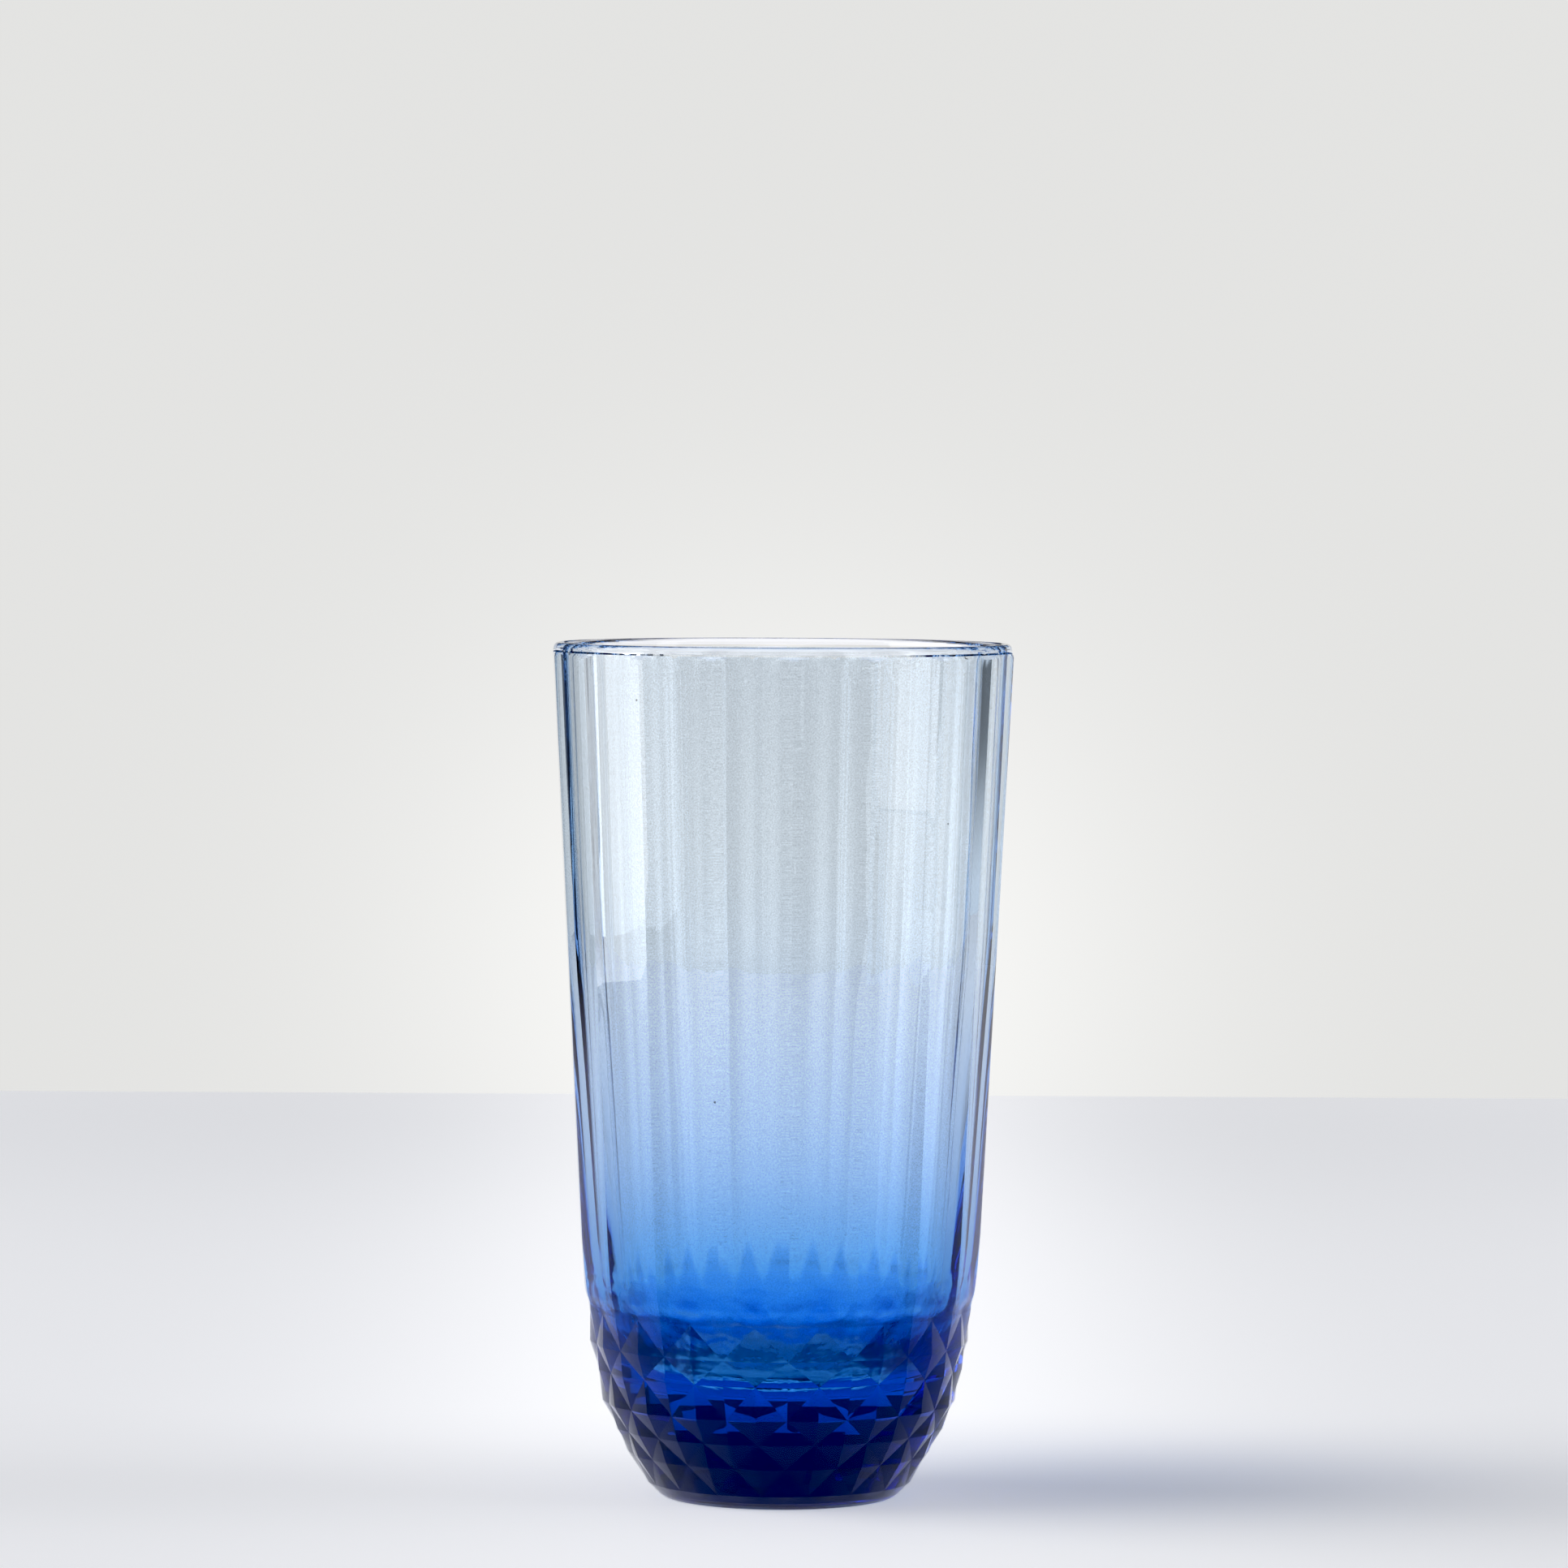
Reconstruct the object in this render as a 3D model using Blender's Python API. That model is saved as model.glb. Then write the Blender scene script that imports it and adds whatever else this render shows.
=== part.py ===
"""Pressed glass vessel, free-standing: a tapered body with flat panels over a cut-diamond base.

Two pieces in metres, +Z up: the clear glass body, and the translucent lacquer sprayed on its outside.
The origin is the centre of the foot, on the surface that the glass stands on. The front is -Y.
"""

import math

import bmesh
import bpy

# Overall size.
HEIGHT = 0.130
PANELS = 18
ARRIS_PHASE = math.radians(2.67)

# The lacquer's outer face, as (height, arris radius) of the panelled wall.
WALL_BREAKS = ((0.0318, 0.02998), (0.0352, 0.03038), (0.0400, 0.03076), (0.1274, 0.03532))

# The cut diamonds, as (height, radius at the diamond points) of each ring, from the foot up.
DIAMOND_RINGS = (
    (0.0023, 0.02022),
    (0.0067, 0.02305),
    (0.0106, 0.02508),
    (0.0145, 0.02692),
    (0.0197, 0.02802),
    (0.0236, 0.02886),
    (0.0288, 0.02936),
)
GROOVE_DEPTH = 0.00042
FOOT_GROOVE_DEPTH = 0.00015

# The plain band under the diamonds, as (height, radius).
FOOT_BAND = ((0.0010, 0.01890), (0.0016, 0.01942))

# The ring that the glass stands on, and the hollow inside it.
FOOT_RING_OUTER = 0.01730
FOOT_RING_INNER = 0.01500
FOOT_EDGE = 0.0006
HOLLOW_HEIGHT = 0.0016
HOLLOW_RINGS = 4

# The lip, a half round, and the bare collar under it.
LIP_RADIUS = 0.03481
LIP_THICKNESS = 0.00165
LIP_STEPS = 6
COLLAR_HEIGHT = 0.1278

# The cavity, as (radius, height) from the edge of the flat floor up. It tapers faster under WALL_BEND.
FLOOR_HEIGHT = 0.0184
WALL_BEND = (0.03095, 0.0790)
CAVITY = (
    (0.0080, 0.0184),
    (0.0120, 0.0191),
    (0.0155, 0.0201),
    (0.0190, 0.0217),
    (0.0217, 0.0240),
    (0.0235, 0.0268),
    (0.0247, 0.0300),
    (0.0255, 0.0334),
    (0.0262, 0.0380),
    (0.0270, 0.0440),
    (0.02885, 0.0615),
    WALL_BEND,
    (0.0323, 0.1080),
)

# The lacquer film and the clearance that separates the two solids.
COAT_THICKNESS = 0.0002
COAT_GAP = 0.0003

COLUMNS = 2 * PANELS
ROUND_COLUMNS = 2 * COLUMNS


def wall_profile():
    """The outer face from the foot band to the top of the coat, as (height, arris radius, kind)."""
    profile = [(height, radius, "band") for height, radius in FOOT_BAND]
    profile += [(height, radius, "diamond") for height, radius in DIAMOND_RINGS]
    profile += [(height, radius, "panel") for height, radius in WALL_BREAKS]
    return profile


def profile_normal(profile, index):
    """The outward normal of the profile at one ring, as (radial, upward) parts."""
    low = profile[max(index - 1, 0)]
    high = profile[min(index + 1, len(profile) - 1)]
    rise = high[0] - low[0]
    spread = high[1] - low[1]
    length = math.hypot(rise, spread)
    return rise / length, -spread / length


def column_radius(profile, index, column):
    """The radius of one point of a ring: a diamond point, a groove crossing, or a panel."""
    _, radius, kind = profile[index]
    if kind == "band":
        return radius
    if kind == "panel":
        on_arris = column % 2 == 0
        return radius if on_arris else radius * math.cos(math.pi / PANELS)
    if is_crossing(index, column):
        first_ring = index == len(FOOT_BAND)
        return radius - (FOOT_GROOVE_DEPTH if first_ring else GROOVE_DEPTH)
    return radius


def is_crossing(index, column):
    """Whether two grooves cross at this column: neighbouring rings alternate, half a diamond round."""
    return (index - len(FOOT_BAND) + column) % 2 == 1


def ring_of_points(radius_of_column, height, columns):
    """One ring of points; the first lies on an arris."""
    points = []
    for column in range(columns):
        azimuth = ARRIS_PHASE + 2 * math.pi * column / columns
        radius = radius_of_column(column)
        points.append((radius * math.sin(azimuth), -radius * math.cos(azimuth), height))
    return points


def round_ring(radius, height):
    return ring_of_points(lambda column: radius, height, ROUND_COLUMNS)


def skin_rings(inset):
    """The rings of the cut outer face, moved inwards by inset along the profile's normal."""
    profile = wall_profile()
    rings = []
    for index, (height, _, _) in enumerate(profile):
        radial, upward = profile_normal(profile, index)

        def radius_of(column, index=index, radial=radial):
            return column_radius(profile, index, column) - inset * radial

        rings.append(ring_of_points(radius_of, height - inset * upward, COLUMNS))
    return rings


def add_ring(mesh, points):
    return [mesh.verts.new(point) for point in points]


def bridge(mesh, low, high, crossing_at_start=None):
    """Joins two rings of equal count; a groove runs along each diagonal between its crossings."""
    count = len(low)
    for column in range(count):
        after = (column + 1) % count
        quad = (low[column], low[after], high[after], high[column])
        if crossing_at_start is None:
            mesh.faces.new(quad)
        elif (column % 2 == 0) == crossing_at_start:
            mesh.faces.new((quad[0], quad[1], quad[2]))
            mesh.faces.new((quad[0], quad[2], quad[3]))
        else:
            mesh.faces.new((quad[0], quad[1], quad[3]))
            mesh.faces.new((quad[1], quad[2], quad[3]))


def bridge_to_round(mesh, cut, fine, cut_below):
    """Joins a ring of the cut face to a round ring that has twice as many points."""
    count = len(cut)
    for column in range(count):
        after = (column + 1) % count
        left, middle, right = fine[2 * column], fine[2 * column + 1], fine[(2 * column + 2) % (2 * count)]
        triangles = (
            (cut[column], middle, left),
            (cut[column], cut[after], middle),
            (cut[after], right, middle),
        )
        for triangle in triangles:
            mesh.faces.new(triangle if cut_below else triangle[::-1])


def close_disc(mesh, ring, height, upward):
    """Fans a ring to its centre."""
    centre = mesh.verts.new((0, 0, height))
    count = len(ring)
    for column in range(count):
        after = (column + 1) % count
        triangle = (ring[column], ring[after], centre)
        mesh.faces.new(triangle if upward else triangle[::-1])


def bridge_skin(mesh, rings):
    """Joins the rings of the cut outer face, from the foot up."""
    for index in range(len(rings) - 1):
        first_diamond = len(FOOT_BAND)
        last_diamond = first_diamond + len(DIAMOND_RINGS) - 1
        cut = first_diamond <= index < last_diamond
        crossing = is_crossing(index, 0) if cut else None
        bridge(mesh, rings[index], rings[index + 1], crossing)


def cavity_profile():
    """The inside, from under the lip down to the edge of the flat floor, as (radius, height)."""
    return list(reversed(CAVITY))


def lip_profile():
    """The half round of the lip, from its outer side over the top to the inside."""
    middle = LIP_RADIUS - LIP_THICKNESS / 2
    profile = [(LIP_RADIUS, COLLAR_HEIGHT)]
    for step in range(LIP_STEPS + 1):
        angle = math.pi * step / LIP_STEPS
        radius = middle + LIP_THICKNESS / 2 * math.cos(angle)
        profile.append((radius, HEIGHT - LIP_THICKNESS / 2 * (1 - math.sin(angle))))
    return profile


def underside_profile():
    """The standing ring and the shallow hollow inside it, from the middle outwards."""
    profile = []
    for step in range(1, HOLLOW_RINGS + 1):
        share = step / HOLLOW_RINGS
        profile.append((FOOT_RING_INNER * share, HOLLOW_HEIGHT * (1 - share**2)))
    profile.append((FOOT_RING_OUTER, 0.0))
    profile.append((FOOT_RING_OUTER + FOOT_EDGE, FOOT_EDGE))
    return profile


def bridge_profile(mesh, profile):
    """Turned rings along a profile, joined in order, as (first ring, last ring)."""
    rings = [add_ring(mesh, round_ring(radius, height)) for radius, height in profile]
    for low, high in zip(rings, rings[1:]):
        bridge(mesh, low, high)
    return rings[0], rings[-1]


def make_glass_body():
    mesh = bmesh.new()
    skin = [add_ring(mesh, points) for points in skin_rings(COAT_THICKNESS + COAT_GAP)]
    underside_start, underside_end = bridge_profile(mesh, underside_profile())
    inside_start, inside_end = bridge_profile(mesh, lip_profile() + cavity_profile())
    close_disc(mesh, underside_start, HOLLOW_HEIGHT, upward=False)
    bridge_to_round(mesh, skin[0], underside_end, cut_below=False)
    bridge_skin(mesh, skin)
    bridge_to_round(mesh, skin[-1], inside_start, cut_below=True)
    close_disc(mesh, inside_end, FLOOR_HEIGHT, upward=True)
    return finish(mesh, "glass_body", glass_material())


def make_lacquer_coat():
    mesh = bmesh.new()
    outer = [add_ring(mesh, points) for points in skin_rings(0.0)]
    inner = [add_ring(mesh, points) for points in skin_rings(COAT_THICKNESS)]
    bridge_skin(mesh, outer)
    bridge_skin(mesh, inner)
    bridge(mesh, inner[0], outer[0])
    bridge(mesh, outer[-1], inner[-1])
    return finish(mesh, "blue_lacquer_coat", lacquer_material())


def finish(mesh, name, material):
    """Makes the object, with round faces smooth and cut edges sharp."""
    bmesh.ops.recalc_face_normals(mesh, faces=mesh.faces[:])
    data = bpy.data.meshes.new(name)
    mesh.to_mesh(data)
    mesh.free()
    data.materials.append(material)
    data.shade_smooth()
    data.set_sharp_from_angle(angle=math.radians(8))
    solid = bpy.data.objects.new(name, data)
    bpy.context.scene.collection.objects.link(solid)
    return solid


def principled(name, colour, roughness):
    material = bpy.data.materials.new(name)
    material.use_nodes = True
    shader = material.node_tree.nodes["Principled BSDF"]
    shader.inputs["Base Color"].default_value = (*colour, 1.0)
    shader.inputs["Roughness"].default_value = roughness
    shader.inputs["Metallic"].default_value = 0.0
    return material, shader


def glass_material():
    material, shader = principled("clear_glass", (0.93, 0.96, 0.98), 0.03)
    shader.inputs["Transmission Weight"].default_value = 1.0
    shader.inputs["IOR"].default_value = 1.52
    return material


def lacquer_material():
    material, shader = principled("blue_lacquer", (0.05, 0.16, 0.62), 0.12)
    shader.inputs["Alpha"].default_value = 0.6
    return material


def main():
    for leftover in list(bpy.data.objects):
        bpy.data.objects.remove(leftover)
    make_glass_body()
    make_lacquer_coat()


main()
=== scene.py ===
"""Looks of the pressed-glass vessel: fine glass, sprayed lacquer, pale table and soft studio light."""

import math

import bpy
from mathutils import Matrix, Vector


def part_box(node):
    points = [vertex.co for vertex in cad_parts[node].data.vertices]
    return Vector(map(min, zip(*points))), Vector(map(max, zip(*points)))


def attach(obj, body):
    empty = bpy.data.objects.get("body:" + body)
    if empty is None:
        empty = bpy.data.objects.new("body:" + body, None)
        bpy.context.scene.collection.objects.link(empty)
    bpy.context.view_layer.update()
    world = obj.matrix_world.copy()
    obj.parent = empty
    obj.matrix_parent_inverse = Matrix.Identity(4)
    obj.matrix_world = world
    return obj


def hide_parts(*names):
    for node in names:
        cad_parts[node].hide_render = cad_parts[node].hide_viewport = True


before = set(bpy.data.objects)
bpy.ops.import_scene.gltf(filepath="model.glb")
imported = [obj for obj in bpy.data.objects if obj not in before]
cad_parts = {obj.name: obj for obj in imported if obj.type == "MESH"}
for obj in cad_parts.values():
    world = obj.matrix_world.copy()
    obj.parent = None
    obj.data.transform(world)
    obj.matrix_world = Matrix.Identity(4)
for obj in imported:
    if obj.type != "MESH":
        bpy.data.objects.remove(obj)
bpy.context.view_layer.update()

MM = 0.001

# ---------------------------------------------------------------- shape, in millimetres and degrees

# Overall shape. The front is -Y, and the origin is the centre of the foot.
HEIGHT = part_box("glass_body")[1].z / MM
PANELS = 18
HALF_PANEL = math.radians(180 / PANELS)
ARRIS_PHASE = 2.67
STEPS_PER_FACET = 8
COLUMNS = 2 * PANELS * STEPS_PER_FACET

# The foot: a rounded edge and a narrow plain band under the diamonds, as (height, radius).
FOOT = ((0.0, 17.3), (0.04, 17.6), (0.2, 17.95), (0.6, 18.45), (1.1, 18.98), (1.65, 19.5))
FOOT_RING_INNER = 15.0
HOLLOW_HEIGHT = 1.6
HOLLOW_STEPS = 10

# The cut diamonds: (height, radius at the points) of each ring, from the foot up.
RINGS = (
    (2.3, 20.22),
    (6.7, 23.05),
    (10.6, 25.08),
    (14.5, 26.92),
    (19.7, 28.02),
    (23.6, 28.86),
    (28.8, 29.36),
)
TOP_RING = len(RINGS) - 1
GROOVE_DEPTH = 0.50
FOOT_GROOVE_DEPTH = 0.15

# The panelled wall, as (height, radius at the arrises). The diamonds run into it over RUN_IN.
WALL = ((28.8, 29.50), (31.8, 29.98), (35.2, 30.38), (40.0, 30.76), (128.9, 35.40))
RUN_IN = 2.6

# The round shoulder that the panels run out on, as (height, radius).
SHOULDER = ((28.8, 29.15), (30.2, 29.45), (32.0, 29.72), (34.0, 29.88), (36.0, 29.90), (40.0, 29.70))
SHOULDER_TOP = 38.0
SHOULDER_SOFTNESS = 0.05

# The lip, a half round, and the collar where the panels end under it.
LIP_RADIUS = 34.81
LIP_THICKNESS = 1.65
LIP_STEPS = 16
COLLAR_START = 128.0
COLLAR_END = 128.9
COLLAR_RADIUS = LIP_RADIUS + 0.08

# Heights from one row of points to the next, and the least height between the wall's rows and the collar's.
SHOULDER_STEP = 0.25
WALL_STEP = 2.0
COLLAR_STEP = 0.3
COLLAR_CLEARANCE = 0.5
ROUNDING = 0.01

# The cavity, as (radius, height) from the middle of the floor up.
CAVITY = (
    (0.0, 18.4),
    (6.0, 18.5),
    (11.0, 19.0),
    (15.5, 20.1),
    (19.0, 21.7),
    (21.7, 24.0),
    (23.5, 26.8),
    (24.7, 30.0),
    (25.5, 33.4),
    (26.2, 38.0),
    (27.0, 44.0),
    (27.9, 52.5),
    (28.85, 61.5),
    (29.78, 70.0),
    (30.45, 76.0),
    (30.98, 81.5),
    (31.50, 89.5),
    (32.3, 108.0),
    (33.12, 128.9),
)
CAVITY_ROWS = 102

# The lacquer film, and the clearance between it and the glass.
COAT_THICKNESS = 0.06
COAT_GAP = 0.02
COAT_BOTTOM = 1.0
COAT_TOP = 128.9

# Edges sharper than this stay crisp, in degrees.
SHARP_DEGREES = 6

# The material slots of the glass's faces, and of the film's.
COATED, BARE = 0, 1
OUTSIDE, INSIDE = 0, 1

# ---------------------------------------------------------------- looks of the glass and the lacquer

GLASS_IOR = 1.52
NOISE_DETAIL = 2.0

# Ripples down the wall, in metres.
RIPPLE_ACROSS = 0.0030
RIPPLE_ALONG = 0.060
RIPPLE_DEPTH = 0.00003
RIPPLE_SOFTNESS = 0.45

# The swirls round the floor: size in metres, then heights in millimetres.
SWIRL_SIZE = 0.0040
SWIRL_DEPTH = 0.00080
SWIRL_START = 19.0
SWIRL_FULL = 22.0
SWIRL_FADE = 27.0
SWIRL_END = 36.0
SWIRL_ROUGHNESS = 0.36

# The colour of the lacquer's gloss against height in millimetres: bluest where the spray is densest.
GLOSS = (
    (0.0, (0.02, 0.16, 0.75)),
    (20.0, (0.03, 0.20, 0.80)),
    (32.0, (0.12, 0.38, 0.90)),
    (48.0, (0.50, 0.70, 0.97)),
    (66.0, (0.85, 0.92, 1.0)),
    (90.0, (1.0, 1.0, 1.0)),
    (130.0, (1.0, 1.0, 1.0)),
)

# The lacquer's own colour against height in millimetres: what one crossing of the film lets through.
TINT = (
    (0.0, (0.047, 0.209, 0.57)),
    (11.0, (0.044, 0.180, 0.52)),
    (15.0, (0.048, 0.220, 0.64)),
    (19.0, (0.058, 0.310, 0.82)),
    (24.0, (0.070, 0.39, 0.93)),
    (28.0, (0.150, 0.485, 0.94)),
    (31.5, (0.275, 0.575, 0.92)),
    (36.0, (0.33, 0.585, 0.89)),
    (43.0, (0.455, 0.655, 0.91)),
    (52.0, (0.60, 0.75, 0.945)),
    (66.0, (0.725, 0.83, 0.96)),
    (80.0, (0.82, 0.895, 0.975)),
    (100.0, (0.885, 0.94, 0.99)),
    (130.0, (0.875, 0.93, 0.985)),
)

# The scalloped edge of the dense spray at the foot of the panels, in millimetres.
SCALLOP_HEIGHT = 30.2
SCALLOP_DEPTH = 2.6
SCALLOP_BLUR = 1.5
SCALLOP_TINT = (0.60, 0.78, 0.94)

# The spray's droplets: size in metres, the middle half of the noise, and how much they lighten or darken.
SPRAY_GRAIN = 0.00022
SPRAY_NOISE = (0.25, 0.75)
SPRAY_UNEVENNESS = 0.12

# The odd speck of dust under the spray: sizes in metres, its core's share of its radius, and its light.
SPECK_SPACING = 0.011
SPECK_RADIUS = 0.00022
SPECK_CORE = 0.7
SPECK_LIGHT = 0.25

# ---------------------------------------------------------------- stage, in metres

TABLE_LEFT, TABLE_RIGHT = -0.60, 0.75
TABLE_FRONT, TABLE_BACK = -0.80, 0.72
TABLE_LEFT_FADE = -0.28
TABLE_FRONT_FADE = -0.25
TABLE_ROUGHNESS = 0.6
TABLE_SPECULAR = 0.3
TABLE_COLOUR = (0.80, 0.80, 0.815)
# Painted shade: the paper's colour towards its left and front edges, where its light fades out.
TABLE_EDGE_PAINTED_SHADE = (0.10, 0.10, 0.11)
TABLE_TONE = (0.985, 0.985, 1.0)
# The light's colour in the painted shadow.
TABLE_SHADE_TONE = (0.82, 0.87, 1.02)

# The table's painted light: its level, a painted pool of light down the middle, and bands and bells that
# add or take away.
TABLE_LIGHT = 0.535
POOL_WIDTH = 0.068
POOL_START, POOL_END = -0.01, 0.10
POOL_NEAR_LIGHT, POOL_FAR_LIGHT = 0.10, 0.27
BAND_WIDTH = 0.04
BAND_DIP = 0.06
FAR_Y, FAR_WIDTH, FAR_DIP = 0.62, 0.22, 0.05
RIGHT_X, RIGHT_WIDTH, RIGHT_GLOW = 0.24, 0.14, 0.05
# A painted shadow of the vessel on the table, right of the foot.
SHADE_X, SHADE_WIDTH_X = 0.050, 0.055
SHADE_Y, SHADE_WIDTH_Y = 0.020, 0.045
SHADE_DIP = 0.16
# Painted shade under the foot: the table's light falls to UNDER_FOOT_SHARE of itself within
# UNDER_FOOT_INNER of the axis, and is whole beyond UNDER_FOOT_OUTER.
UNDER_FOOT_INNER, UNDER_FOOT_OUTER, UNDER_FOOT_SHARE = 0.010, 0.022, 0.60

# The backdrop, with a soft pool of light behind the table's far edge, dimmer at the right.
PAPER_BOTTOM, PAPER_TOP = -1.2, 0.45
BACKDROP_Y = 2.4
BACKDROP_LEFT, BACKDROP_RIGHT = -1.5, 2.4
BACKDROP_COLOUR = (1, 1, 0.985, 1)
BACKDROP_LIGHT = 0.775
BACKDROP_GLOW = 0.20
BACKDROP_GLOW_Z = -0.085
BACKDROP_GLOW_WIDTH = 0.176
BACKDROP_DIM_FROM, BACKDROP_DIM_TO, BACKDROP_DIM = 1.35, 1.90, 0.50

# The paper at the right, which darkens upwards.
SIDE_X = 2.4
SIDE_NEAR = 0.2
SIDE_COLOUR = (0.85, 0.92, 1.0, 1)
SIDE_FADE_FROM, SIDE_FADE_TO = -0.16, -0.02
SIDE_LIGHT, SIDE_DARK = 0.75, 0.10

WORLD_COLOUR = (0.085, 0.095, 0.12, 1)
BLACK_LEVEL = 0.010

CAMERA_PLACE = (0.0003, -1.105, 0.15488)
CAMERA_LENS = 166.96
CAMERA_PITCH = 2.403
CAMERA_ROLL = 0.285


# ---------------------------------------------------------------- outer face


def mix(a, b, share):
    return a + (b - a) * share


def smooth(share):
    share = min(max(share, 0.0), 1.0)
    return share * share * (3 - 2 * share)


def interpolate(table, height):
    """The radius at a height of a (height, radius) table."""
    for (low, low_radius), (high, high_radius) in zip(table, table[1:]):
        if height <= high:
            return mix(low_radius, high_radius, (height - low) / (high - low))
    return table[-1][1]


def larger(first, second):
    """The larger of two radii, with a soft change-over between them."""
    return 0.5 * (first + second + math.hypot(first - second, SHOULDER_SOFTNESS))


def panel_radius(column, height):
    """A flat panel between two arrises."""
    arris = interpolate(WALL, height)
    from_centre = (column % (2 * STEPS_PER_FACET)) / STEPS_PER_FACET - 1
    return arris * math.cos(HALF_PANEL) / math.cos(HALF_PANEL * from_centre)


def node_radius(ring, column):
    """The radius at a diamond point or a groove crossing."""
    radius = RINGS[ring][1]
    if (ring + column // STEPS_PER_FACET) % 2 == 0:
        return radius
    return radius - (FOOT_GROOVE_DEPTH if ring == 0 else GROOVE_DEPTH)


def diamond_radius(column, ring, share):
    """The cut face between two rings: flat facets between points and crossings."""
    step = column % STEPS_PER_FACET
    base = column - step
    across = step / STEPS_PER_FACET
    after = (base + STEPS_PER_FACET) % COLUMNS
    low_left, low_right = node_radius(ring, base), node_radius(ring, after)
    high_left, high_right = node_radius(ring + 1, base), node_radius(ring + 1, after)
    left_is_point = (ring + base // STEPS_PER_FACET) % 2 == 0
    if not left_is_point:
        # Mirrored, so that the groove always runs from the low right to the high left crossing.
        across = 1 - across
        low_left, low_right = low_right, low_left
        high_left, high_right = high_right, high_left
    if across + share <= 1:
        return low_left + (low_right - low_left) * across + (high_left - low_left) * share
    return high_right + (high_left - high_right) * (1 - across) + (low_right - high_right) * (1 - share)


def diamond_rows():
    rows = []
    for ring in range(TOP_RING):
        low, high = RINGS[ring][0], RINGS[ring + 1][0]
        for step in range(STEPS_PER_FACET):
            share = step / STEPS_PER_FACET
            rows.append((mix(low, high, share), [diamond_radius(c, ring, share) for c in range(COLUMNS)]))
    return rows


def wall_rows():
    """The shoulder, the panelled wall and the collar."""
    rows = []
    start = RINGS[TOP_RING][0]
    height = start
    while height < SHOULDER_TOP:
        blend = smooth((height - start) / RUN_IN)
        shoulder = interpolate(SHOULDER, height)
        radii = []
        for column in range(COLUMNS):
            diamonds = diamond_radius(column, TOP_RING - 1, 1.0)
            wall = larger(panel_radius(column, height), shoulder)
            radii.append(mix(diamonds, wall, blend))
        rows.append((height, radii))
        height += SHOULDER_STEP
    while height < COLLAR_START - COLLAR_CLEARANCE:
        rows.append((height, [panel_radius(c, height) for c in range(COLUMNS)]))
        height += WALL_STEP
    height = COLLAR_START
    while height < COLLAR_END + ROUNDING:
        share = smooth((height - COLLAR_START) / (COLLAR_END - COLLAR_START))
        radii = [mix(panel_radius(c, height), COLLAR_RADIUS, share) for c in range(COLUMNS)]
        rows.append((height, radii))
        height += COLLAR_STEP
    return rows


def soften(rows):
    """Rounds the arrises a little, as fire polishing does."""
    softened = []
    for height, radii in rows:
        around = [
            0.25 * radii[c - 1] + 0.5 * radii[c] + 0.25 * radii[(c + 1) % COLUMNS]
            for c in range(COLUMNS)
        ]
        softened.append((height, around))
    return softened


def outer_rows():
    """Rows of the outer face from the foot to the lip, as (height, list of radii)."""
    foot = [(height, [radius] * COLUMNS) for height, radius in FOOT]
    return foot + diamond_rows() + soften(wall_rows())


def inset_rows(rows, inset):
    """Moves rows inwards along the profile's normal."""
    moved = []
    for index, (height, radii) in enumerate(rows):
        low = rows[max(index - 1, 0)]
        high = rows[min(index + 1, len(rows) - 1)]
        rise = high[0] - low[0]
        spread = (sum(high[1]) - sum(low[1])) / COLUMNS
        length = math.hypot(rise, spread)
        moved.append((height + inset * spread / length, [r - inset * rise / length for r in radii]))
    return moved


# ---------------------------------------------------------------- turned faces


def curve_through(points, count):
    """Evenly spread points on a Catmull-Rom curve through the given ones."""
    found = []
    for step in range(count + 1):
        place = step / count * (len(points) - 1)
        index = min(int(place), len(points) - 2)
        t = place - index
        p0 = points[max(index - 1, 0)]
        p1, p2 = points[index], points[index + 1]
        p3 = points[min(index + 2, len(points) - 1)]
        point = []
        for a, b, c, d in zip(p0, p1, p2, p3):
            square = 2 * a - 5 * b + 4 * c - d
            cube = 3 * b - a - 3 * c + d
            point.append(0.5 * (2 * b + (c - a) * t + square * t * t + cube * t**3))
        found.append(tuple(point))
    return found


def cavity_profile():
    """The inside from under the lip down to near the middle of the floor, as (height, radius)."""
    curve = curve_through(CAVITY, CAVITY_ROWS)
    return [(height, radius) for radius, height in reversed(curve[1:])]


def lip_profile():
    """The half round of the lip, from its outer side over the top, as (height, radius)."""
    middle = LIP_RADIUS - LIP_THICKNESS / 2
    profile = []
    for step in range(LIP_STEPS + 1):
        angle = math.pi * step / LIP_STEPS
        radius = middle + LIP_THICKNESS / 2 * math.cos(angle)
        profile.append((HEIGHT - LIP_THICKNESS / 2 * (1 - math.sin(angle)), radius))
    return profile


def underside_profile():
    """The shallow hollow inside the standing ring, from near its middle outwards, as (height, radius)."""
    profile = []
    for step in range(1, HOLLOW_STEPS + 1):
        share = step / HOLLOW_STEPS
        profile.append((HOLLOW_HEIGHT * (1 - share**2), FOOT_RING_INNER * share))
    return profile


# ---------------------------------------------------------------- meshes


def ring_points(height, radii):
    points = []
    for column in range(COLUMNS):
        azimuth = math.radians(ARRIS_PHASE + 360 * column / COLUMNS)
        radius = radii[column]
        points.append((radius * math.sin(azimuth) * MM, -radius * math.cos(azimuth) * MM, height * MM))
    return points


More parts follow.
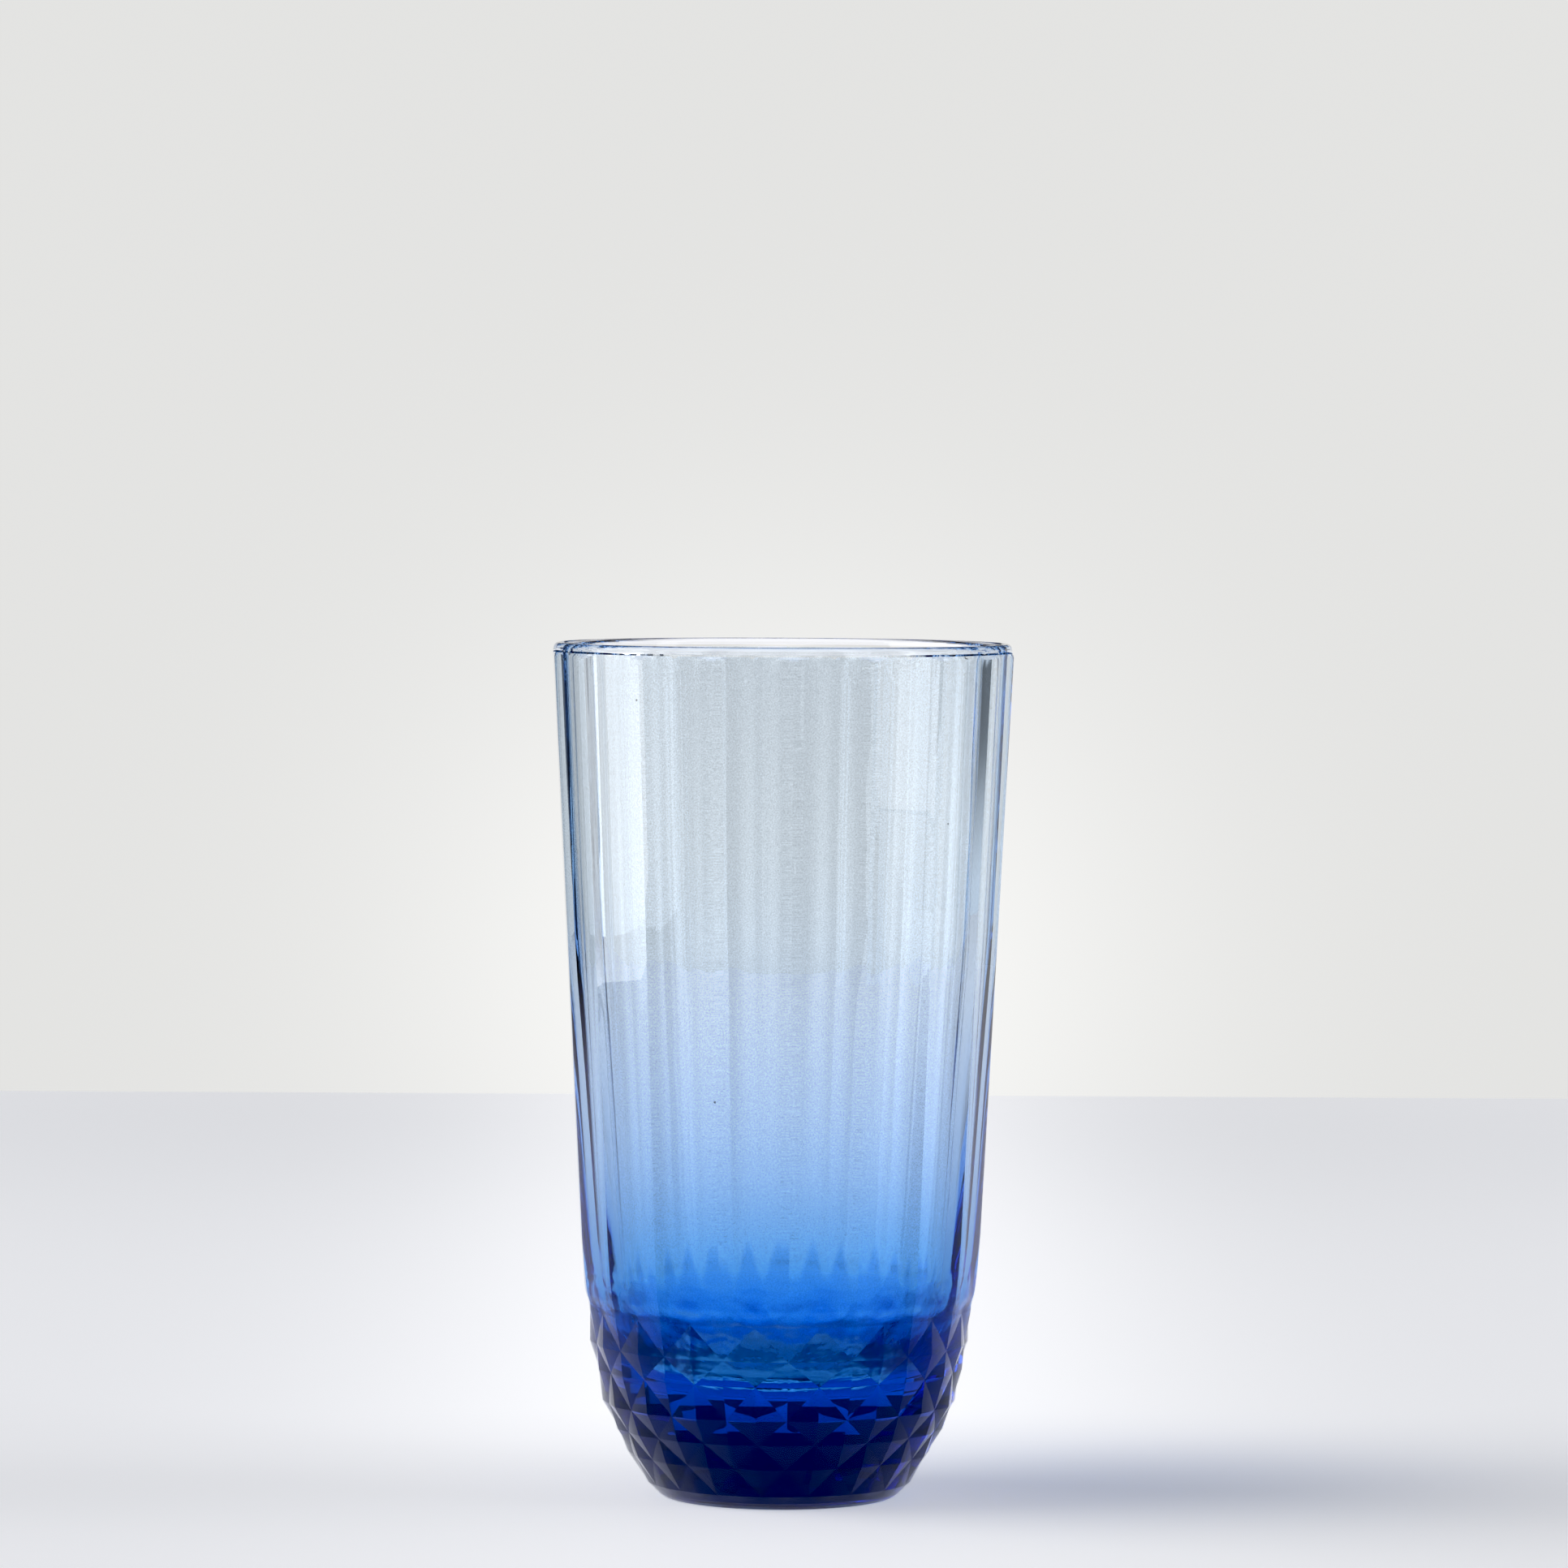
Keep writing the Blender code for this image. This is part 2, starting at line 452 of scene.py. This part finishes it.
class Skin:
    """Rings of points joined into one closed surface."""

    def __init__(self):
        self.points = []
        self.faces = []
        self.slots = []

    def ring(self, height, radii):
        start = len(self.points)
        self.points += ring_points(height, radii)
        return start

    def turned(self, profile):
        return [self.ring(height, [radius] * COLUMNS) for height, radius in profile]

    def join(self, low, high, slot, flipped=False, diagonal=None):
        """Joins two rings: by quads, or by triangles that diagonal says how to split."""
        for column in range(COLUMNS):
            after = (column + 1) % COLUMNS
            quad = (low + column, low + after, high + after, high + column)
            faces = [quad]
            if diagonal is not None:
                if diagonal(column):
                    faces = [(quad[0], quad[1], quad[2]), (quad[0], quad[2], quad[3])]
                else:
                    faces = [(quad[0], quad[1], quad[3]), (quad[1], quad[2], quad[3])]
            for face in faces:
                self.faces.append(face[::-1] if flipped else face)
                self.slots.append(slot)

    def close(self, ring, height, slot, upward):
        """Fans a ring to its centre."""
        centre = len(self.points)
        self.points.append((0, 0, height * MM))
        for column in range(COLUMNS):
            face = (ring + column, ring + (column + 1) % COLUMNS, centre)
            self.faces.append(face if upward else face[::-1])
            self.slots.append(slot)

    def object(self, name, materials):
        data = bpy.data.meshes.new(name)
        data.from_pydata(self.points, [], self.faces)
        for material in materials:
            data.materials.append(material)
        data.polygons.foreach_set("material_index", self.slots)
        data.shade_smooth()
        data.set_sharp_from_angle(angle=math.radians(SHARP_DEGREES))
        data.validate()
        piece = bpy.data.objects.new(name, data)
        bpy.context.scene.collection.objects.link(piece)
        return piece


def groove_diagonal(row_index):
    """Which way the quads over this row are split, so that edges follow the grooves."""
    first = len(FOOT)
    ring = (row_index - first) // STEPS_PER_FACET
    if row_index < first or ring >= TOP_RING:
        return None

    def splits(column):
        # True: the split runs from low left to high right.
        return (ring + column // STEPS_PER_FACET) % 2 == 1

    return splits


def make_glass(materials):
    skin = Skin()
    rows = outer_rows()
    inner_rows = inset_rows(rows, COAT_THICKNESS + COAT_GAP)
    under = skin.turned(underside_profile())
    skin.close(under[0], HOLLOW_HEIGHT, BARE, upward=False)
    for low, high in zip(under, under[1:]):
        skin.join(low, high, BARE)
    outer = []
    for row, inner_row in zip(rows, inner_rows):
        coated = COAT_BOTTOM <= row[0] <= COAT_TOP
        outer.append(skin.ring(*(inner_row if coated else row)))
    skin.join(under[-1], outer[0], BARE)
    for index in range(len(outer) - 1):
        coated = rows[index][0] >= COAT_BOTTOM and rows[index + 1][0] <= COAT_TOP + ROUNDING
        slot = COATED if coated else BARE
        skin.join(outer[index], outer[index + 1], slot, diagonal=groove_diagonal(index))
    inside = skin.turned(lip_profile() + cavity_profile())
    skin.join(outer[-1], inside[0], BARE)
    for low, high in zip(inside, inside[1:]):
        skin.join(low, high, BARE)
    skin.close(inside[-1], CAVITY[0][1], BARE, upward=True)
    return skin.object("glass_vessel", materials)


def make_coat(materials):
    skin = Skin()
    rows = outer_rows()
    inner_rows = inset_rows(rows, COAT_THICKNESS)
    kept = [i for i, (height, _) in enumerate(rows) if COAT_BOTTOM <= height <= COAT_TOP]
    outer = [skin.ring(*rows[i]) for i in kept]
    inner = [skin.ring(*inner_rows[i]) for i in kept]
    for place in range(len(kept) - 1):
        diagonal = groove_diagonal(kept[place])
        skin.join(outer[place], outer[place + 1], OUTSIDE, diagonal=diagonal)
        skin.join(inner[place], inner[place + 1], INSIDE, flipped=True, diagonal=diagonal)
    skin.join(inner[0], outer[0], INSIDE)
    skin.join(outer[-1], inner[-1], INSIDE)
    return skin.object("lacquer_film", materials)


# ---------------------------------------------------------------- node helpers


def new_material(name):
    material = bpy.data.materials.new(name)
    material.use_nodes = True
    return material, material.node_tree


def new_plain_material(name, kind):
    """A material with a shader of another kind in place of Principled, as (material, tree, shader)."""
    material, tree = new_material(name)
    tree.nodes.remove(tree.nodes["Principled BSDF"])
    shader = tree.nodes.new(kind)
    tree.links.new(shader.outputs[0], tree.nodes["Material Output"].inputs["Surface"])
    return material, tree, shader


def math_node(tree, operation, first, second=None, third=None):
    """A Math node; each input is a socket or a number."""
    node = tree.nodes.new("ShaderNodeMath")
    node.operation = operation
    for place, value in enumerate((first, second, third)):
        if value is None:
            continue
        if isinstance(value, (int, float)):
            node.inputs[place].default_value = value
        else:
            tree.links.new(value, node.inputs[place])
    return node.outputs[0]


def place_in_object(tree):
    return tree.nodes.new("ShaderNodeTexCoord").outputs["Object"]


def position(tree):
    """The X, Y and Z of the place in the object, in metres."""
    split = tree.nodes.new("ShaderNodeSeparateXYZ")
    tree.links.new(place_in_object(tree), split.inputs[0])
    return split.outputs


def distance_from(tree, centre):
    """How far the place in the object is from a centre, in metres."""
    node = tree.nodes.new("ShaderNodeVectorMath")
    node.operation = "DISTANCE"
    tree.links.new(place_in_object(tree), node.inputs[0])
    node.inputs[1].default_value = centre
    return node.outputs["Value"]


def ramp_between(tree, value, start, end, low=0.0, high=1.0, shape="LINEAR"):
    """A socket's value from low at start to high at end, and level beyond them."""
    node = tree.nodes.new("ShaderNodeMapRange")
    node.interpolation_type = shape
    tree.links.new(value, node.inputs["Value"])
    for name, number in (("From Min", start), ("From Max", end), ("To Min", low), ("To Max", high)):
        node.inputs[name].default_value = number
    return node.outputs[0]


def step_between(tree, value, start, end, low=0.0, high=1.0):
    """As ramp_between, with soft ends."""
    return ramp_between(tree, value, start, end, low, high, "SMOOTHSTEP")


def bell(tree, value, centre, width):
    """exp(-((value - centre) / width) ** 2)."""
    share = math_node(tree, "DIVIDE", math_node(tree, "SUBTRACT", value, centre), width)
    square = math_node(tree, "MULTIPLY", share, share)
    return math_node(tree, "EXPONENT", math_node(tree, "MULTIPLY", square, -1.0))


def mix_colours(tree, share, first, second, blend="MIX"):
    """A colour mix; first is a socket or a colour, and second is a colour."""
    node = tree.nodes.new("ShaderNodeMix")
    node.data_type = "RGBA"
    node.blend_type = blend
    tree.links.new(share, node.inputs["Factor"])
    # The node has sockets of each kind under the same names; these are the ones for colours.
    first_socket, second_socket, result = node.inputs[6], node.inputs[7], node.outputs[2]
    if isinstance(first, tuple):
        first_socket.default_value = (*first, 1)
    else:
        tree.links.new(first, first_socket)
    second_socket.default_value = (*second, 1)
    return result


def scale_colour(tree, colour, share):
    node = tree.nodes.new("ShaderNodeVectorMath")
    node.operation = "SCALE"
    tree.links.new(colour, node.inputs[0])
    tree.links.new(share, node.inputs["Scale"])
    return node.outputs["Vector"]


def height_ramp(tree, table):
    """A colour that changes with height: table of (height in millimetres, colour)."""
    ramp = tree.nodes.new("ShaderNodeValToRGB")
    ramp.color_ramp.interpolation = "B_SPLINE"
    stops = ramp.color_ramp.elements
    while len(stops) < len(table):
        stops.new(0.5)
    for stop, (height, colour) in zip(stops, table):
        stop.position = height / HEIGHT
        stop.color = (*colour, 1)
    share = math_node(tree, "DIVIDE", position(tree)["Z"], HEIGHT * MM)
    tree.links.new(share, ramp.inputs["Fac"])
    return ramp.outputs["Color"]


# ---------------------------------------------------------------- glass and lacquer


def glass_material(name):
    material, tree = new_material(name)
    shader = tree.nodes["Principled BSDF"]
    shader.inputs["Base Color"].default_value = (1, 1, 1, 1)
    shader.inputs["Roughness"].default_value = 0.0
    shader.inputs["Transmission Weight"].default_value = 1.0
    shader.inputs["IOR"].default_value = GLASS_IOR
    return material, tree, shader


def round_the_floor(tree):
    """1 on the curved glass round the cavity's floor, 0 on the floor's middle and up the wall."""
    height = position(tree)["Z"]
    over_floor = step_between(tree, height, SWIRL_START * MM, SWIRL_FULL * MM)
    under_wall = step_between(tree, height, SWIRL_FADE * MM, SWIRL_END * MM, 1.0, 0.0)
    return math_node(tree, "MULTIPLY", over_floor, under_wall)


def add_ripple(tree, socket, across, along, depth, share=None):
    """Bumps that are across wide and along tall (metres), depth deep, on top of the socket's own."""
    scaling = tree.nodes.new("ShaderNodeMapping")
    scaling.inputs["Scale"].default_value = (1 / across, 1 / across, 1 / along)
    tree.links.new(place_in_object(tree), scaling.inputs["Vector"])
    noise = tree.nodes.new("ShaderNodeTexNoise")
    noise.inputs["Scale"].default_value = 1.0
    noise.inputs["Detail"].default_value = NOISE_DETAIL
    noise.inputs["Roughness"].default_value = RIPPLE_SOFTNESS
    tree.links.new(scaling.outputs[0], noise.inputs["Vector"])
    # Centred on 0, so that where it fades in or out it doesn't tilt the surface.
    height = math_node(tree, "SUBTRACT", noise.outputs["Fac"], 0.5)
    if share is not None:
        height = math_node(tree, "MULTIPLY", height, share)
    bump = tree.nodes.new("ShaderNodeBump")
    bump.inputs["Strength"].default_value = 1.0
    bump.inputs["Distance"].default_value = depth
    tree.links.new(height, bump.inputs["Height"])
    if socket.is_linked:
        tree.links.new(socket.links[0].from_socket, bump.inputs["Normal"])
    tree.links.new(bump.outputs[0], socket)


def clear_glass_material():
    """Bare glass: slow ripples down the wall, and swirls where the plunger left the floor's edge."""
    material, tree, shader = glass_material("clear_glass")
    swirled = round_the_floor(tree)
    tree.links.new(math_node(tree, "MULTIPLY", swirled, SWIRL_ROUGHNESS), shader.inputs["Roughness"])
    add_ripple(tree, shader.inputs["Normal"], RIPPLE_ACROSS, RIPPLE_ALONG, RIPPLE_DEPTH)
    add_ripple(tree, shader.inputs["Normal"], SWIRL_SIZE, SWIRL_SIZE, SWIRL_DEPTH, swirled)
    return material


def clear_interface_material():
    """The glass's face under the lacquer: the two are alike enough that light isn't bent between them."""
    return new_plain_material("glass_under_lacquer", "ShaderNodeBsdfTransparent")[0]


def gloss_material():
    """The lacquer's outer face."""
    material, tree, shader = glass_material("blue_lacquer_gloss")
    tree.links.new(height_ramp(tree, GLOSS), shader.inputs["Specular Tint"])
    return material


def below_scallops(tree):
    """1 under the scalloped edge of the dense spray at the foot of the panels, 0 over it."""
    x, y, z = position(tree)
    azimuth = math_node(tree, "ARCTAN2", x, math_node(tree, "MULTIPLY", y, -1.0))
    turns = math_node(tree, "MULTIPLY_ADD", azimuth, PANELS, -PANELS * math.radians(ARRIS_PHASE))
    wave = math_node(tree, "COSINE", turns)
    edge = math_node(tree, "MULTIPLY_ADD", wave, -SCALLOP_DEPTH * MM, SCALLOP_HEIGHT * MM)
    over = math_node(tree, "DIVIDE", math_node(tree, "SUBTRACT", z, edge), SCALLOP_BLUR * MM)
    return step_between(tree, over, -1.0, 1.0, 1.0, 0.0)


def spray_shade(tree):
    """How the spray's droplets and the specks lighten or darken the lacquer."""
    place = place_in_object(tree)
    grain = tree.nodes.new("ShaderNodeTexNoise")
    grain.inputs["Scale"].default_value = 1 / SPRAY_GRAIN
    grain.inputs["Detail"].default_value = NOISE_DETAIL
    tree.links.new(place, grain.inputs["Vector"])
    spray = ramp_between(
        tree, grain.outputs["Fac"], *SPRAY_NOISE, 1 - SPRAY_UNEVENNESS, 1 + SPRAY_UNEVENNESS
    )
    spots = tree.nodes.new("ShaderNodeTexVoronoi")
    spots.inputs["Scale"].default_value = 1 / SPECK_SPACING
    tree.links.new(place, spots.inputs["Vector"])
    radius = SPECK_RADIUS / SPECK_SPACING
    speck = ramp_between(tree, spots.outputs["Distance"], SPECK_CORE * radius, radius, SPECK_LIGHT, 1.0)
    return math_node(tree, "MULTIPLY", spray, speck)


def tint_material():
    """The body of the lacquer: light is tinted once at each crossing."""
    material, tree, shader = new_plain_material("blue_lacquer_tint", "ShaderNodeBsdfTransparent")
    tint = mix_colours(tree, below_scallops(tree), height_ramp(tree, TINT), SCALLOP_TINT, "MULTIPLY")
    tree.links.new(scale_colour(tree, tint, spray_shade(tree)), shader.inputs["Color"])
    return material


# ---------------------------------------------------------------- stage


def table_material():
    """Pale paper with its own soft painted light, which fades out towards the left and front edges, where
    its colour also darkens to painted shade.
    """
    material, tree = new_material("table_white")
    shader = tree.nodes["Principled BSDF"]
    shader.inputs["Roughness"].default_value = TABLE_ROUGHNESS
    shader.inputs["Specular IOR Level"].default_value = TABLE_SPECULAR
    x, y, _ = position(tree)

    def add(first, second):
        return math_node(tree, "ADD", first, second)

    def times(first, second):
        return math_node(tree, "MULTIPLY", first, second)

    # Painted light: a pool of light down the middle, darker bands across and a glow at the right.
    pool_light = ramp_between(tree, y, POOL_START, POOL_END, POOL_NEAR_LIGHT, POOL_FAR_LIGHT)
    pool = times(bell(tree, x, 0.0, POOL_WIDTH), pool_light)
    band = times(bell(tree, y, 0.0, BAND_WIDTH), -BAND_DIP)
    far = times(bell(tree, y, FAR_Y, FAR_WIDTH), -FAR_DIP)
    right = times(bell(tree, x, RIGHT_X, RIGHT_WIDTH), RIGHT_GLOW)
    light = add(add(add(pool, band), add(far, TABLE_LIGHT)), right)
    # Painted shade under the foot.
    from_axis = distance_from(tree, (0.0, 0.0, 0.0))
    under_foot = step_between(tree, from_axis, UNDER_FOOT_INNER, UNDER_FOOT_OUTER, UNDER_FOOT_SHARE)
    light = times(light, under_foot)
    # Painted shadow of the vessel right of the foot, in a bluer light.
    shade = times(bell(tree, x, SHADE_X, SHADE_WIDTH_X), bell(tree, y, SHADE_Y, SHADE_WIDTH_Y))
    light = math_node(tree, "MULTIPLY_ADD", shade, -SHADE_DIP, light)
    # Towards the left and front edges the paper's light fades out and its colour darkens to painted shade.
    from_front = step_between(tree, y, TABLE_FRONT, TABLE_FRONT_FADE)
    from_left = step_between(tree, x, TABLE_LEFT, TABLE_LEFT_FADE)
    lit = times(from_front, from_left)
    colour = mix_colours(tree, lit, TABLE_EDGE_PAINTED_SHADE, TABLE_COLOUR)
    tone = mix_colours(tree, shade, TABLE_TONE, TABLE_SHADE_TONE)
    tree.links.new(colour, shader.inputs["Base Color"])
    tree.links.new(tone, shader.inputs["Emission Color"])
    tree.links.new(times(light, lit), shader.inputs["Emission Strength"])
    return material


def backdrop_material():
    """Lit paper with a soft pool of light, dimmer at the right."""
    material, tree, shader = new_plain_material("backdrop_paper", "ShaderNodeEmission")
    shader.inputs["Color"].default_value = BACKDROP_COLOUR
    from_pool = distance_from(tree, (0.0, BACKDROP_Y, BACKDROP_GLOW_Z))
    pool = bell(tree, from_pool, 0.0, BACKDROP_GLOW_WIDTH)
    light = math_node(tree, "MULTIPLY_ADD", pool, BACKDROP_GLOW, BACKDROP_LIGHT)
    dim = ramp_between(tree, position(tree)["X"], BACKDROP_DIM_FROM, BACKDROP_DIM_TO, 1.0, BACKDROP_DIM)
    tree.links.new(math_node(tree, "MULTIPLY", light, dim), shader.inputs["Strength"])
    return material


def side_material():
    """Lit paper that darkens upwards."""
    material, tree, shader = new_plain_material("side_paper", "ShaderNodeEmission")
    shader.inputs["Color"].default_value = SIDE_COLOUR
    light = step_between(tree, position(tree)["Z"], SIDE_FADE_FROM, SIDE_FADE_TO, SIDE_LIGHT, SIDE_DARK)
    tree.links.new(light, shader.inputs["Strength"])
    return material


def make_plane(name, corners, material):
    data = bpy.data.meshes.new(name)
    data.from_pydata(corners, [], [(0, 1, 2, 3)])
    data.materials.append(material)
    piece = bpy.data.objects.new(name, data)
    bpy.context.scene.collection.objects.link(piece)


def make_upright(name, start, end, material):
    """A sheet of paper that stands between two places on the ground, as (x, y)."""
    corners = [
        (*start, PAPER_BOTTOM),
        (*end, PAPER_BOTTOM),
        (*end, PAPER_TOP),
        (*start, PAPER_TOP),
    ]
    make_plane(name, corners, material)


def area_light(name, place, target, width, height, radiance):
    """A softbox given by its radiance: power = radiance * pi * area."""
    data = bpy.data.lights.new(name, "AREA")
    data.shape = "RECTANGLE"
    data.size = width
    data.size_y = height
    data.energy = radiance * math.pi * width * height
    light = bpy.data.objects.new(name, data)
    light.location = place
    light.rotation_euler = (Vector(target) - Vector(place)).to_track_quat("-Z", "Y").to_euler()
    bpy.context.scene.collection.objects.link(light)


def make_stage():
    table_corners = [
        (TABLE_LEFT, TABLE_FRONT, 0),
        (TABLE_RIGHT, TABLE_FRONT, 0),
        (TABLE_RIGHT, TABLE_BACK, 0),
        (TABLE_LEFT, TABLE_BACK, 0),
    ]
    make_plane("table", table_corners, table_material())
    make_upright("backdrop", (BACKDROP_LEFT, BACKDROP_Y), (BACKDROP_RIGHT, BACKDROP_Y), backdrop_material())
    make_upright("side_paper", (SIDE_X, BACKDROP_Y), (SIDE_X, SIDE_NEAR), side_material())
    area_light(
        "softbox_left", place=(-1.6, -0.1, 0.4), target=(0, -0.1, 0.4), width=1.6, height=2.2, radiance=2.8
    )
    area_light(
        "fill_right", place=(1.8, -0.8, 0.6), target=(0, 0, 0.1), width=0.5, height=1.6, radiance=1.6
    )
    world = bpy.data.worlds.new("studio")
    world.use_nodes = True
    world.node_tree.nodes["Background"].inputs["Color"].default_value = WORLD_COLOUR
    bpy.context.scene.world = world


def make_camera():
    data = bpy.data.cameras.new("camera")
    data.sensor_width = 36
    data.lens = CAMERA_LENS
    data.clip_start = 0.05
    data.clip_end = 50
    camera = bpy.data.objects.new("camera", data)
    turn = Matrix.Rotation(math.radians(90 - CAMERA_PITCH), 4, "X")
    roll = Matrix.Rotation(math.radians(CAMERA_ROLL), 4, "Z")
    camera.matrix_world = Matrix.Translation(CAMERA_PLACE) @ turn @ roll
    bpy.context.scene.collection.objects.link(camera)
    bpy.context.scene.camera = camera


def set_view():
    """Plain colours with slightly deeper blacks, and enough bounces for nested glass."""
    scene = bpy.context.scene
    scene.view_settings.view_transform = "Standard"
    scene.view_settings.use_curve_mapping = True
    scene.view_settings.curve_mapping.black_level = (BLACK_LEVEL, BLACK_LEVEL, BLACK_LEVEL)
    scene.view_settings.curve_mapping.update()
    scene.cycles.max_bounces = 40
    scene.cycles.transmission_bounces = 40
    scene.cycles.glossy_bounces = 24
    scene.cycles.diffuse_bounces = 4
    scene.cycles.transparent_max_bounces = 96


def main():
    make_camera()
    make_stage()
    glass = make_glass([clear_interface_material(), clear_glass_material()])
    film = make_coat([gloss_material(), tint_material()])
    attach(glass, "root")
    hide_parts("glass_body")
    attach(film, "root")
    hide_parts("blue_lacquer_coat")
    set_view()


main()
